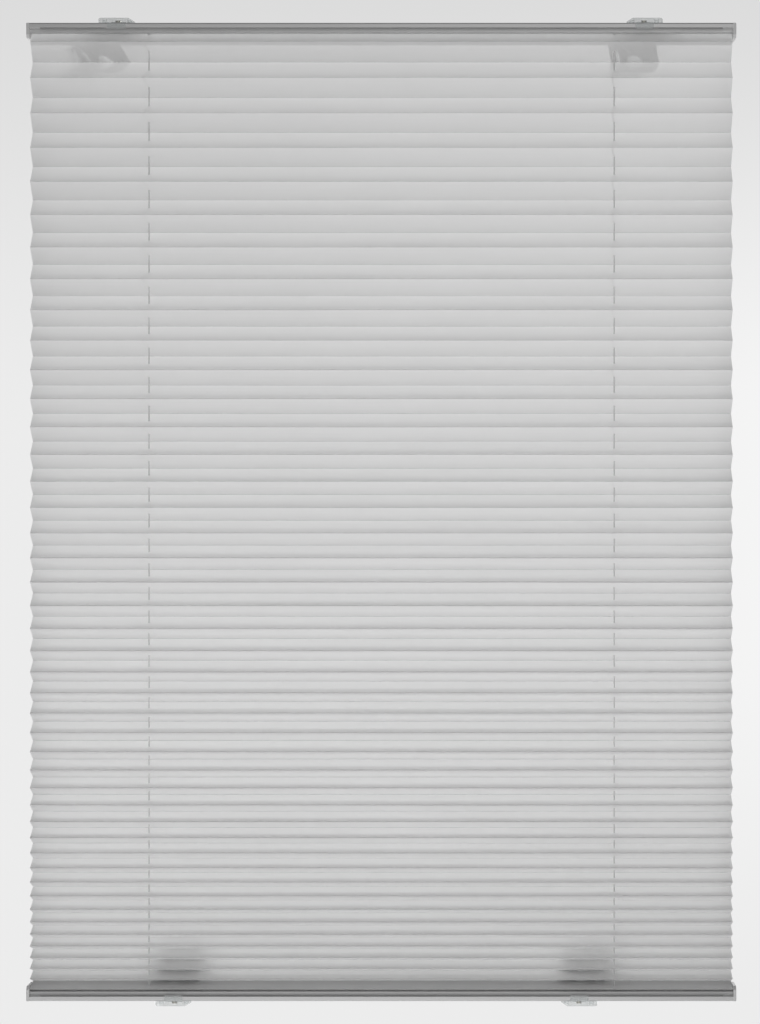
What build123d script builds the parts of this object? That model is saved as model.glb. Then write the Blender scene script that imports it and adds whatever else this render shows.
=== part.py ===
"""Clamp-on pleated blind with two movable rails, two tension cords and four clamp brackets.

Frame: X runs along the rails, -Y faces the room, +Y the window, +Z up. The origin is the
middle of the whole object's box. Every piece of the upper half is drawn in the frame of
`upper`, a plane on the top face of the top rail; the lower half uses the same drawings in
the frame of `lower`, which is the same plane turned half a turn about Y.
"""
import os
from math import sqrt

from build123d import *

# ---- driving dimensions (millimetres) ------------------------------------------------
blind_w = 500.0          # over the end caps
blind_h = 689.0          # between the outer faces of the two rails as hung
stack_room = 0.8         # beside the folded cloth, in front of it and behind it
rail_h = 11.0            # height of the rail's back wall
lip_h = 3.2              # height of the short front lip
wall = 1.2               # rail wall
cap_t = 2.0              # end cap plate
cap_h = 10.6
cap_chamfer = 2.4
channel_w = 10.0         # cord channel between the two gripping legs
channel_h = 2.6          # height of that channel, above the fabric strip
leg_t = 1.0              # gripping legs and feet
foot_w = 1.6
strip_t = 1.2            # strip that carries the end of the fabric
rib_w = 5.6              # its rib, which reaches out between the feet
rib_out = 0.3            # and stands this far past them
fit = 0.1                # slack of a push fit
run = 0.3                # running clearance between moving pieces

face = 20.0              # one face of a pleat, fold to fold
fabric_t = 0.3
stretch_top = 0.642      # first pitch, as a share of the pleat pulled flat
stretch_mean = 0.39      # mean pitch, as a share of the pleat pulled flat
sag_power = 1.2          # how the pitch falls from the top to the bottom
punch_d = 1.8            # hole punched for a cord

cord_d = 1.0
cord_inset = 85.5        # from the outside of an end cap to the cord
cord_bend = 1.3          # inside the rail
cord_hole_d = 3.0        # in the strip
guide_d = 4.8            # eyelet in the rail's outer plate
guide_bore = 2.2
guide_flange_d = 6.6
guide_flange_t = 0.6

top_bracket_x = (-186.5, 185.5)      # where the brackets stand along the sash
bottom_bracket_x = (-146.5, 139.5)
plate_off = -4.0         # from the shoe's middle to the plate's, along the half's own X

plate_w = 33.0           # bracket plate against the sash
plate_t = 2.0
plate_low = 29.0         # its lower edge, below the rail's outer face
plate_high = 3.4         # its upper edge, above that face
plate_gap = 3.5          # from the rail's back to the plate
plate_r = 4.0
window_d = 10.0          # round window in the plate
window_z = -22.7
slot_w = 2.8             # long slot beside the window
slot_x = -11.3
slot_top = -12.8
slot_low = -24.6
slit_w = 9.0             # narrow slit over the window
slit_h = 1.2
slit_z = -14.6
arm_t = 1.6              # arm over the sash
arm_w = 24.0
arm_len = 13.0
arm_z = -11.6            # underside of the arm, which is the top of the sash
tang_w = 10.0            # tang that carries the shoe
tang_t = 1.2
tang_len = 12.0

shoe_w = 25.4            # clear shoe
shoe_t = 3.1
shoe_r = 3.2             # round ears
shoe_slope = 4.4         # the inner end slopes down over this length
shoe_back = 3.0          # rear edge of the wide part, behind the middle of the rail
ear_hole_d = 3.4
ear_inset = 3.9
neck_w = 15.0
tongue_w = 12.7          # tongue that laps over the lip
tongue_t = 1.2
tongue_below = 1.1       # how far it reaches below the lip
ferrule_d = 3.6
ferrule_h = 2.2

pad_t = 0.8              # soft pads on both sides of the sash
pad_h = 4.6
sash_gap = 18.0          # between the pads as drawn
sash_min = 12.5
sash_max = 23.5
jaw_t = 1.6
jaw_w = 22.0
jaw_low = 27.0           # lower edge of the jaw, below the rail's outer face
lug_t = 3.2
screw_d = 4.0            # M4 clamp screw
screw_pitch = 0.7
screw_head_d = 7.0
screw_head_h = 2.4
screw_key = 2.5
nut_af = 7.0
nut_t = 3.2

# ---- derived ---------------------------------------------------------------------------
rail_depth = face + 2 * (stack_room + wall)      # rail, front to back
half_d = rail_depth / 2
rail_len = blind_w - 2 * cap_t
cord_x = blind_w / 2 - cord_inset
strip_z = -wall - channel_h - strip_t            # underside of the strip
fabric_z = strip_z - leg_t - rib_out             # where the fabric starts
fabric_w = rail_len - 2 * run
plate_front = half_d + plate_gap
plate_back = plate_front + plate_t
sash_front = plate_back + pad_t
jaw_pad_front = sash_front + sash_gap
jaw_front = jaw_pad_front + pad_t
jaw_back = jaw_front + jaw_t
jaw_strip_z = arm_z + arm_t + run                # underside of the jaw's strip
screw_z = jaw_strip_z + jaw_t + nut_af / 2 + run
lug_top = screw_z + nut_af / 2 + 1.0
lug_front = plate_back + run + (sash_gap - sash_min) + 0.9
screw_tip = lug_front + lug_t + nut_t + (sash_max - sash_gap) + 1.5
tongue_front = -half_d - run - tongue_t
y_shift = -(tongue_front + max(jaw_back, screw_tip)) / 2   # puts the box's middle at Y = 0

upper = Plane(origin=(0, y_shift, blind_h / 2), x_dir=(1, 0, 0), z_dir=(0, 0, 1))
lower = Plane(origin=(0, y_shift, -blind_h / 2), x_dir=(-1, 0, 0), z_dir=(0, 0, -1))

# ---- pleats: heights of the folds ---------------------------------------------------------
span = blind_h + 2 * fabric_z                    # between the two strips
flat = 2 * face
pitches = max(4, round(span / (stretch_mean * flat)))
p_top = stretch_top * flat
# the two half faces at the ends take a quarter of the first and of the last pitch
p_low = (span * (sag_power + 1) / (pitches + 0.25) - p_top) / sag_power


def pitch(i):
    return p_low + (p_top - p_low) * (1 - i / (pitches - 1)) ** sag_power


raw = [pitch(i) for i in range(pitches)]
scale = span / (sum(raw) + raw[0] / 4 + raw[-1] / 4)
pitch_list = [p * scale for p in raw]


def depth(p):
    return sqrt(face**2 - (p / 2) ** 2)


z = blind_h / 2 + fabric_z
folds = [(0.0, z)]                               # (y from the cord plane, z)
z -= pitch_list[0] / 4
folds.append((-depth(pitch_list[0]) / 2, z))
for p in pitch_list:
    folds.append((depth(p) / 2, z - p / 2))
    z -= p
    folds.append((-depth(p) / 2, z))
folds.append((0.0, -blind_h / 2 - fabric_z))

os.makedirs("parts", exist_ok=True)


def save(part, name):
    part.label = name
    export_step(part, f"parts/{name}.step")
    print(f"{name:28s} {part.volume:10.1f}")


def front_plane(base, x, y):
    """Front view in the frame of base: +X right, +Z up, and extrusions run to the room."""
    return Plane(origin=base.from_local_coords(Vector(x, y, 0)), x_dir=base.x_dir, z_dir=(0, -1, 0))


def end_plane(base, x):
    """Section across a rail in the frame of base, and extrusions run along +X of base."""
    return Plane(origin=base.from_local_coords(Vector(x, 0, 0)), x_dir=(0, 1, 0), z_dir=base.x_dir)


def plan_plane(base, x, h):
    """Plan view at height h above the rail's outer face, and extrusions run away from the rail."""
    return Plane(origin=base.from_local_coords(Vector(x, 0, h)), x_dir=base.x_dir, z_dir=base.z_dir)


# ---- rails and what moves with them -----------------------------------------------------------
def rail(base, shoe_x, name):
    leg_y = channel_w / 2 + leg_t / 2
    leg_low = strip_z - leg_t
    with BuildPart() as body:
        with BuildSketch(end_plane(base, -rail_len / 2)):
            with Locations((0, -wall / 2)):
                Rectangle(rail_depth, wall)
            with Locations((half_d - wall / 2, -rail_h / 2)):
                Rectangle(wall, rail_h)
            with Locations((-half_d + wall / 2, -lip_h / 2)):
                Rectangle(wall, lip_h)
            with Locations((-leg_y, leg_low / 2), (leg_y, leg_low / 2)):
                Rectangle(leg_t, -leg_low)
            foot_y = channel_w / 2 - foot_w / 2 + leg_t / 2
            with Locations((-foot_y, strip_z - leg_t / 2), (foot_y, strip_z - leg_t / 2)):
                Rectangle(foot_w + leg_t, leg_t)
        extrude(amount=rail_len)
        outer = body.edges().filter_by(Axis.X).group_by(Axis.Z)[-1 if base is upper else 0]
        fillet([outer.sort_by(Axis.Y)[0], outer.sort_by(Axis.Y)[-1]], 0.8 * wall)
        with BuildSketch(plan_plane(base, 0, 0.5)):
            with Locations(*[(x, 0) for x in shoe_x]):
                Circle(guide_d / 2 + fit / 2)
        extrude(amount=-wall - 1.0, mode=Mode.SUBTRACT)
    save(body.part, name)


def cap(base, side, name):
    """End cap: a plate with three pegs that push into the rail; side is -1 or +1 along base X."""
    x0 = side * rail_len / 2
    peg = 7.0
    with BuildPart() as body:
        with BuildSketch(end_plane(base, x0)):
            with BuildLine():
                Polyline(
                    (-half_d, 0), (half_d, 0), (half_d, -cap_h), (-half_d + cap_chamfer, -cap_h),
                    (-half_d, -cap_h + cap_chamfer), close=True,
                )
            make_face()
        extrude(amount=side * cap_t)
        far = body.faces().sort_by(Axis.X)[-1 if side * base.x_dir.X > 0 else 0]
        chamfer(far.edges(), 0.4)
        free = half_d - wall - channel_w / 2 - leg_t      # between a leg and a wall
        mid = channel_w / 2 + leg_t + free / 2
        with BuildSketch(end_plane(base, x0)):
            with Locations((-mid, -wall - 1.0 - fit), (mid, -wall - 3.0 - fit)):
                Rectangle(free - 2 * fit, 2.0)
            with Locations((mid, -wall - 1.0 - fit)):
                Rectangle(free - 2 * fit, 2.0)
        extrude(amount=-side * peg)
    save(body.part, name)


def strip(base, name):
    with BuildPart() as body:
        with BuildSketch(plan_plane(base, 0, strip_z)):
            Rectangle(rail_len - 2 * run, channel_w - 2 * fit)
        extrude(amount=strip_t)
        with BuildSketch(plan_plane(base, 0, strip_z)):
            Rectangle(rail_len - 2 * run, rib_w)
        extrude(amount=fabric_z - strip_z)
        with BuildSketch(plan_plane(base, 0, strip_z + strip_t)):
            with Locations((-cord_x, 0), (cord_x, 0)):
                Circle(cord_hole_d / 2)
        extrude(amount=fabric_z - strip_z - strip_t, mode=Mode.SUBTRACT)
    save(body.part, name)


def guide(base, x, name):
    """Eyelet in the rail's outer plate, flush outside and flanged inside."""
    with BuildPart() as body:
        with BuildSketch(plan_plane(base, x, -wall)):
            Circle(guide_d / 2)
        extrude(amount=wall)
        with BuildSketch(plan_plane(base, x, -wall)):
            Circle(guide_flange_d / 2)
        extrude(amount=-guide_flange_t)
        with BuildSketch(plan_plane(base, x, 0)):
            Circle(guide_bore / 2)
        extrude(amount=-wall - guide_flange_t, mode=Mode.SUBTRACT)
    save(body.part, name)


# ---- fabric -------------------------------------------------------------------------------------
def fabric(name):
    half = fabric_t / 2
    ways = []                                    # direction and room-side normal of each face
    for (y0, h0), (y1, h1) in zip(folds[:-1], folds[1:]):
        d = Vector(y1 - y0, h1 - h0).normalized()
        ways.append((d, Vector(d.Y, -d.X)))
    room, back = [], []
    for (y, h), (_, n1), (_, n2) in zip(folds[1:-1], ways[:-1], ways[1:]):
        p = Vector(y, h)
        tip = (n1 + n2) * (half / (1 + n1.dot(n2)))
        if y < 0:
            room += [p + n1 * half, p + n2 * half]
            back += [p - tip]
        else:
            room += [p + tip]
            back += [p - n1 * half, p - n2 * half]
    # the cut ends lie flat against the strips
    for place, (d, n) in ((0, ways[0]), (-1, ways[-1])):
        for side, line in ((1, room), (-1, back)):
            off = n * (half * side)
            end = Vector(*folds[place]) + off - d * (off.Y / d.Y)
            line.insert(0 if place == 0 else len(line), end)
    outline = [(v.X, v.Y) for v in room + back[::-1]]
    with BuildPart() as body:
        sec = Plane(origin=(-fabric_w / 2, y_shift, 0), x_dir=(0, 1, 0), z_dir=(1, 0, 0))
        with BuildSketch(sec):
            Polygon(*outline, align=None)
        extrude(amount=fabric_w)
        spots = []
        for (y0, h0), (y1, h1) in zip(folds[1:-2], folds[2:-1]):
            along = Vector(0, y1 - y0, h1 - h0).normalized()
            normal = along.cross(Vector(1, 0, 0))
            for x in (-cord_x, cord_x):
                here = Plane(origin=(x, y_shift + (y0 + y1) / 2, (h0 + h1) / 2),
                             x_dir=(1, 0, 0), z_dir=normal)
                spots.append(here.location)
        for i, j in ((0, 1), (-1, -2)):
            h = folds[i][1]
            for x in (-cord_x, cord_x):
                spots.append(Location((x, y_shift, h)))
        with Locations(*spots):
            Cylinder(punch_d / 2, 6 * fabric_t, mode=Mode.SUBTRACT)
    save(body.part, name)


# ---- cords --------------------------------------------------------------------------------------
def cord(x_top, x_low, side, name):
    """From the ferrule over the top rail, along its channel, down through every pleat and back."""
    top, low = blind_h / 2, -blind_h / 2
    lane = wall + channel_h / 2
    tail = run + shoe_t - 0.4
    route = [
        (x_top, y_shift, top + tail), (x_top, y_shift, top - lane),
        (side * cord_x, y_shift, top - lane), (side * cord_x, y_shift, low + lane),
        (x_low, y_shift, low + lane), (x_low, y_shift, low - tail),
    ]
    with BuildPart() as body:
        with BuildLine() as path:
            FilletPolyline(*route, radius=cord_bend)
        with BuildSketch(Plane(origin=route[0], z_dir=(0, 0, -1))):
            Circle(cord_d / 2)
        sweep(path=path.line)
    save(body.part, name)
    length = sum(edge.length for edge in path.edges())
    print(f"  cord length {length:.1f}, radii {cord_bend}, volume by length "
          f"{length * 3.14159265 * cord_d**2 / 4:.1f}")


# ---- one bracket with its shoe, jaw, screw, nut and pads --------------------------------------------
def bracket_plate(base, x, name):
    """Plate with its arm over the sash; x is its own middle, and the tang stands at the shoe's."""
    with BuildPart() as body:
        with BuildSketch(front_plane(base, x, plate_back)):
            with Locations((0, (plate_high - plate_low) / 2)):
                RectangleRounded(plate_w, plate_high + plate_low, plate_r)
            with Locations((0, window_z)):
                Circle(window_d / 2, mode=Mode.SUBTRACT)
            with Locations((slot_x, (slot_top + slot_low) / 2)):
                SlotOverall(slot_top - slot_low, slot_w, rotation=90, mode=Mode.SUBTRACT)
            with Locations((0, slit_z)):
                SlotOverall(slit_w, slit_h, mode=Mode.SUBTRACT)
            with Locations((0, screw_z)):
                Circle(screw_d / 2 + run, mode=Mode.SUBTRACT)
        extrude(amount=plate_t)
        with BuildSketch(front_plane(base, x, plate_back)):
            with Locations((0, arm_z + arm_t / 2)):
                Rectangle(arm_w, arm_t)
        extrude(amount=-arm_len)
        with BuildSketch(front_plane(base, x, plate_front)):
            with Locations((-plate_off, run + shoe_t / 2)):
                Rectangle(tang_w, tang_t)
        extrude(amount=tang_len)
    save(body.part, name)


def shoe(base, x, name):
    """Clear shoe: a wide base with two eared holes, a neck on the tang, and the lapping tongue."""
    ear_x = shoe_w / 2 - ear_inset
    wide_mid = (tongue_front + shoe_back) / 2
    with BuildPart() as body:
        with BuildSketch(plan_plane(base, x, run)):
            with Locations((0, wide_mid)):
                RectangleRounded(shoe_w, shoe_back - tongue_front, shoe_r)
            with Locations((0, (shoe_back + plate_front) / 2 - 1.0)):
                Rectangle(neck_w, plate_front - shoe_back + 2.0)
            with Locations((-ear_x, wide_mid), (ear_x, wide_mid)):
                Circle(ear_hole_d / 2, mode=Mode.SUBTRACT)
        extrude(amount=shoe_t)
        outer = body.faces().sort_by(Axis.Z)[-1 if base is upper else 0]
        chamfer(outer.outer_wire().edges(), 0.6)
        inner = -1 if x > 0 else 1               # the end that looks to the blind's middle
        with BuildSketch(front_plane(base, x, shoe_back)):
            with BuildLine():
                Polyline(
                    (inner * (shoe_w / 2 - shoe_slope), run + shoe_t), (inner * shoe_w / 2, run + 0.5),
                    (inner * (shoe_w / 2 + 1), run + shoe_t), close=True,
                )
            make_face()
        extrude(amount=shoe_back - tongue_front, mode=Mode.SUBTRACT)
        with BuildSketch(plan_plane(base, x, run + shoe_t / 2)):
            with Locations((0, tongue_front + tongue_t / 2)):
                Rectangle(tongue_w, tongue_t)
        extrude(amount=-(run + shoe_t / 2 + lip_h + tongue_below))
        with BuildSketch(front_plane(base, x, plate_front)):
            with Locations((0, run + shoe_t / 2)):
                Rectangle(tang_w + 2 * fit, tang_t + 2 * fit)
        extrude(amount=tang_len + fit, mode=Mode.SUBTRACT)
        with BuildSketch(plan_plane(base, x, run)):
            Circle(cord_d / 2 + fit)
        extrude(amount=shoe_t, mode=Mode.SUBTRACT)
        with BuildSketch(plan_plane(base, x, run + shoe_t)):
            Circle(ferrule_d / 2 + fit)
        extrude(amount=-ferrule_h, mode=Mode.SUBTRACT)
    save(body.part, name)


def ferrule(base, x, name):
    """Crimped end of a cord, seated in the pocket of the shoe."""
    with BuildPart() as body:
        with BuildSketch(plan_plane(base, x, run + shoe_t - ferrule_h)):
            Circle(ferrule_d / 2)
            Circle(cord_d / 2 + 0.02, mode=Mode.SUBTRACT)
        extrude(amount=ferrule_h - 0.4)
    save(body.part, name)


def jaw(base, x, name):
    """Strip that slides on the arm, with a lug for the screw and the leg behind the sash."""
    with BuildPart() as body:
        with BuildSketch(Plane(origin=base.from_local_coords(Vector(x - jaw_w / 2, 0, 0)),
                               x_dir=(0, 1, 0), z_dir=base.x_dir)):
            with BuildLine():
                Polyline(
                    (lug_front, jaw_strip_z), (jaw_front, jaw_strip_z), (jaw_front, -jaw_low),
                    (jaw_back, -jaw_low), (jaw_back, jaw_strip_z + jaw_t),
                    (lug_front, jaw_strip_z + jaw_t), close=True,
                )
            make_face()
        extrude(amount=jaw_w)
        with BuildSketch(front_plane(base, x, lug_front + lug_t)):
            lug_h = lug_top - jaw_strip_z - jaw_t
            with Locations((0, jaw_strip_z + jaw_t + lug_h / 2)):
                Rectangle(nut_af + 4.0, lug_h)
            with Locations((0, screw_z)):
                Circle(screw_d / 2 + run, mode=Mode.SUBTRACT)
        extrude(amount=lug_t)
    save(body.part, name)


def screw(base, x, name):
    """Pan-head clamp screw with a hexagon socket; the head bears on the front of the plate."""
    with BuildPart() as body:
        with BuildSketch(front_plane(base, x, plate_front)):
            with Locations((0, screw_z)):
                Circle(screw_head_d / 2)
        extrude(amount=screw_head_h)
        chamfer(body.faces().sort_by(Axis.Y)[0].edges(), 0.5)
        with BuildSketch(front_plane(base, x, plate_front - screw_head_h)):
            with Locations((0, screw_z)):
                RegularPolygon(screw_key / 2, 6, major_radius=False)
        extrude(amount=-1.6, mode=Mode.SUBTRACT)
        with BuildSketch(front_plane(base, x, plate_front)):
            with Locations((0, screw_z)):
                Circle(screw_d / 2)
        extrude(amount=-(screw_tip - plate_front))
        chamfer(body.faces().sort_by(Axis.Y)[-1].edges(), 0.5)
    save(body.part, name)


def nut(base, x, name):
    with BuildPart() as body:
        with BuildSketch(front_plane(base, x, lug_front + lug_t)):
            with Locations((0, screw_z)):
                Rectangle(nut_af, nut_af)
                Circle(screw_d / 2 + fit, mode=Mode.SUBTRACT)
        extrude(amount=-nut_t)
    save(body.part, name)


def plate_pad(base, x, name):
    """Die-cut soft pad on the sash side of the plate, open at the window and the slit."""
    left, right = slot_x + slot_w / 2 + 0.6, plate_w / 2 - 1.0
    high, low = arm_z - 0.6, -plate_low + 0.8
    with BuildPart() as body:
        with BuildSketch(front_plane(base, x, sash_front)):
            with Locations(((left + right) / 2, (high + low) / 2)):
                RectangleRounded(right - left, high - low, 1.5)
            with Locations((0, window_z)):
                Circle(window_d / 2 + 0.6, mode=Mode.SUBTRACT)
            with Locations((0, slit_z)):
                SlotOverall(slit_w + 1.2, slit_h + 1.2, mode=Mode.SUBTRACT)
        extrude(amount=pad_t)
    save(body.part, name)


def jaw_pad(base, x, name):
    with BuildPart() as body:
        with BuildSketch(front_plane(base, x, jaw_front)):
            with Locations((0, -jaw_low + 1.0 + pad_h)):
                RectangleRounded(jaw_w - 4.0, 2 * pad_h, 1.5)
        extrude(amount=pad_t)
    save(body.part, name)


def bracket_set(base, x, name):
    shoe(base, x, f"{name}_shoe")
    ferrule(base, x, f"{name}_cord_ferrule")
    middle = x + plate_off
    bracket_plate(base, middle, f"{name}_bracket")
    plate_pad(base, middle, f"{name}_plate_pad")
    jaw(base, middle, f"{name}_jaw")
    jaw_pad(base, middle, f"{name}_jaw_pad")
    nut(base, middle, f"{name}_jaw_nut")
    screw(base, middle, f"{name}_clamp_screw")


# ---- the whole blind (left is -X; X runs the other way in `lower`) ------------------------------------
low_x = [-x for x in bottom_bracket_x]
rail(upper, top_bracket_x, "top_rail")
rail(lower, low_x, "bottom_rail")
for side, word in ((-1, "left"), (1, "right")):
    cap(upper, side, f"top_end_cap_{word}")
    cap(lower, -side, f"bottom_end_cap_{word}")
strip(upper, "top_fabric_strip")
strip(lower, "bottom_fabric_strip")
fabric("pleated_fabric")
for k, (side, word) in enumerate(((-1, "left"), (1, "right"))):
    cord(top_bracket_x[k], bottom_bracket_x[k], side, f"tension_cord_{word}")
    guide(upper, top_bracket_x[k], f"top_cord_guide_{word}")
    guide(lower, low_x[k], f"bottom_cord_guide_{word}")
    bracket_set(upper, top_bracket_x[k], f"top_{word}")
    bracket_set(lower, low_x[k], f"bottom_{word}")
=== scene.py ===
"""Finishes and soft pieces of a clamp-on pleated blind, built round its CAD frame."""

import math

import bmesh
import bpy
from bpy.props import (
    FloatProperty,
    FloatVectorProperty,
    IntProperty,
    PointerProperty,
)
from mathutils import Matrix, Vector


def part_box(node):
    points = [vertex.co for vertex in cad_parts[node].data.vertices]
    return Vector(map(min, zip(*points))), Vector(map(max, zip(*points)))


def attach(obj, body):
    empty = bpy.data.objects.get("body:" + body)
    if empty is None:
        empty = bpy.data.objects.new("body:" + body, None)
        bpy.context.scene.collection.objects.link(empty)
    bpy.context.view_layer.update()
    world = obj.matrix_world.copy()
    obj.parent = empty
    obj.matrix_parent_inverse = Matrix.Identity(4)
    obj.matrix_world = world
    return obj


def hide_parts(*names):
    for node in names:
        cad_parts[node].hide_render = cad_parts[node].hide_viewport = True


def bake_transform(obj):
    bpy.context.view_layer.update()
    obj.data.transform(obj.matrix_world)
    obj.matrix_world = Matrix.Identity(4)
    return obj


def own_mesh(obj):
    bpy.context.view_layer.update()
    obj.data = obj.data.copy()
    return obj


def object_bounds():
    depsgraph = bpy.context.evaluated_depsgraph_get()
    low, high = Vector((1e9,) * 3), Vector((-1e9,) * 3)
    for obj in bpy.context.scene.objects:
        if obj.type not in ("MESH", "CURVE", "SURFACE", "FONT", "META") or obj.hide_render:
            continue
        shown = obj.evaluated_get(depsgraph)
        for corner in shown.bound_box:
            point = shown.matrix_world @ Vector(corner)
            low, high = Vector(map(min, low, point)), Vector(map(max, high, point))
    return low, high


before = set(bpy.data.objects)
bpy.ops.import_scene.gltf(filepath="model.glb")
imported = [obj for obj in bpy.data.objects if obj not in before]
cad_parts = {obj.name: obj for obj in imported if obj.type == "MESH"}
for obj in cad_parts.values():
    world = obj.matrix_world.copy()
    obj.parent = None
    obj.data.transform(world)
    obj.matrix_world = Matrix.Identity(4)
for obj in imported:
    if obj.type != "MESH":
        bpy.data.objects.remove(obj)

bl_info = {
    "name": "Pleated Blind",
    "version": (1, 0, 0),
    "blender": (4, 5, 0),
    "location": "View3D > Sidebar > Blind",
    "description": "Pleated cloth, tension cords, clamp screws and finishes of a clamp-on blind",
    "category": "Object",
}

CORNERS = ("top_left", "top_right", "bottom_left", "bottom_right")
CAD_BOX = [list(corner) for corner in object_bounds()]
CLOTH_LOW, CLOTH_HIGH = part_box("pleated_fabric")
RAIL_LOW, RAIL_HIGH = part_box("top_rail")
FLOOR_RAIL_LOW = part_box("bottom_rail")[0]
CORD_PLANE = (RAIL_LOW.y + RAIL_HIGH.y) / 2

# Cloth: its grid of vertices, in metres or in cells of the grid.
PANEL_ROWS = 8           # cells down one face of a pleat
COLUMN_STEP = 0.0085     # spacing of the columns away from the cords
HOLE_REACH = 2           # cells from a cord to the rim of the block round its hole
HOLE_START = 135.0       # direction of the rim's first corner from the cord, in degrees
CLOTH_WELD = 0.00002     # vertices nearer than this are made one
DRIFT_SEED = 7.0         # picks the noise by which the folds wander

# Cords, in metres.
CORD_SIDES = 12
CORD_STEP = 0.0005       # spacing of the rings round a bend
STRAIGHT_STEP = 0.02     # spacing of the rings where the cord runs straight
CORD_BEND = 0.0014       # radius of a turn inside a rail

# Screws, in metres.
HEAD_SIDES = 24
THREAD_SIDES = 20
RINGS_PER_TURN = 6       # rings of vertices in one pitch of the thread
THREAD_DEPTH = 0.54      # depth of the thread, as a share of its pitch
THREAD_START = 0.0008    # length over which the thread deepens
THREAD_PHASE = 8.5       # where the helix begins, in turns; keeps the count of turns positive
POINT_LENGTH = 0.0005    # length of the chamfered tip
TIP_SHARE = 0.9999       # beyond this share of the shank, its last ring is drawn to a point
SCREW_WELD = 0.000002    # vertices nearer than this are made one

# Stage, in metres; the wall's bands are parts of a direction of view of length one.
SENSOR = 36.0            # width of the camera's sensor, in millimetres
AIM_LEFT = 0.0009        # from the middle of the blind to the middle of the view
FLOOR_RADIUS = 2.6
FLOOR_SIDES = 96
WALL_TOP = (0.02, 0.16)  # band over which the wall darkens upwards
WALL_TOP_SHADE = 0.13
WALL_RIGHT = (0.0, 0.09)  # band over which the wall brightens to the right
WALL_RIGHT_GLOW = 0.07
WALL_ENDS = (0.03, 0.14)  # bands above and below the middle in which that brightness ends
ROUND_LAMP = 0.5         # lamps smaller than this are round
MIDDLE, BELOW = (0.0, 0.0, 0.0), (0.0, 0.0, -0.25)
LAMPS = (                # name, setting with its power, place, size, what it is aimed at
    ("key behind", "key", (0.44, CORD_PLANE + 1.2, 0.61), 0.035, MIDDLE),
    ("glow behind", "glow", (-0.2, 0.9, -0.47), 1.0, BELOW),
    ("fill above", "fill", (0.4, -2.4, 0.9), 1.4, MIDDLE),
    ("fill below", "low", (-0.1, -1.3, -0.75), 0.9, BELOW),
)


# ---- node trees ----------------------------------------------------------------------
class Socket:
    """An output of a node; arithmetic on it adds the Math nodes."""

    def __init__(self, tree, output):
        self.tree, self.output = tree, output

    def __add__(self, other):
        return self.tree.math("ADD", self, other)

    def __radd__(self, other):
        return self.tree.math("ADD", other, self)

    def __sub__(self, other):
        return self.tree.math("SUBTRACT", self, other)

    def __rsub__(self, other):
        return self.tree.math("SUBTRACT", other, self)

    def __mul__(self, other):
        return self.tree.math("MULTIPLY", self, other)

    def __rmul__(self, other):
        return self.tree.math("MULTIPLY", other, self)

    def __truediv__(self, other):
        return self.tree.math("DIVIDE", self, other)

    def __pow__(self, other):
        return self.tree.math("POWER", self, other)

    def get(self, name):
        """Another output of the same node."""
        return Socket(self.tree, self.output.node.outputs[name])


class Tree:
    """Adds nodes to a material or to a Geometry Nodes group."""

    def __init__(self, group):
        self.group = group

    def node(self, kind, settings=None, values=None, give=0):
        """Adds a node: its settings first, then the values or links of its sockets."""
        made = self.group.nodes.new(kind)
        for name, value in (settings or {}).items():
            setattr(made, name, value)
        for name, value in (values or {}).items():
            if isinstance(value, Socket):
                self.group.links.new(value.output, made.inputs[name])
            else:
                made.inputs[name].default_value = value
        return Socket(self, made.outputs[give]) if len(made.outputs) else made

    def math(self, operation, *values):
        """A Math node."""
        return self.node("ShaderNodeMath", {"operation": operation}, dict(enumerate(values)))

    def vector(self, operation, *values):
        """A Vector Math node."""
        return self.node("ShaderNodeVectorMath", {"operation": operation}, dict(enumerate(values)))

    def split(self, vector):
        """The three parts of a vector."""
        parts = self.node("ShaderNodeSeparateXYZ", None, {0: vector})
        return parts, parts.get("Y"), parts.get("Z")

    def join(self, x, y, z):
        """A vector of three parts."""
        return self.node("ShaderNodeCombineXYZ", None, {0: x, 1: y, 2: z})

    def mix(self, factor, dark, light):
        """A colour between two others."""
        return self.node("ShaderNodeMix", {"data_type": "RGBA"}, {0: factor, 6: dark, 7: light}, 2)

    def sine(self, angle):
        """The sine of an angle in radians."""
        return self.math("SINE", angle)

    def cosine(self, angle):
        """The cosine of an angle in radians."""
        return self.math("COSINE", angle)

    def fade(self, value, low, high):
        """0 below low, 1 above high and smooth between."""
        return self.node(
            "ShaderNodeMapRange", {"interpolation_type": "SMOOTHSTEP"},
            {"Value": value, "From Min": low, "From Max": high})

    def store(self, geometry, name, value, kind="FLOAT", domain="POINT"):
        """Stores a named attribute on a geometry."""
        return self.node("GeometryNodeStoreNamedAttribute", {"data_type": kind, "domain": domain},
                         {"Geometry": geometry, "Name": name, "Value": value})

    def stored(self, name, kind="FLOAT"):
        """Reads a named attribute."""
        return self.node("GeometryNodeInputNamedAttribute", {"data_type": kind}, {"Name": name})

    def give_out(self, geometry, finish):
        """Puts the finish on what the group has made, and gives it out."""
        coated = self.node("GeometryNodeSetMaterial", None,
                           {"Geometry": geometry, "Material": finish})
        self.node("NodeGroupOutput", None, {0: coated})
        return self.group


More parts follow.
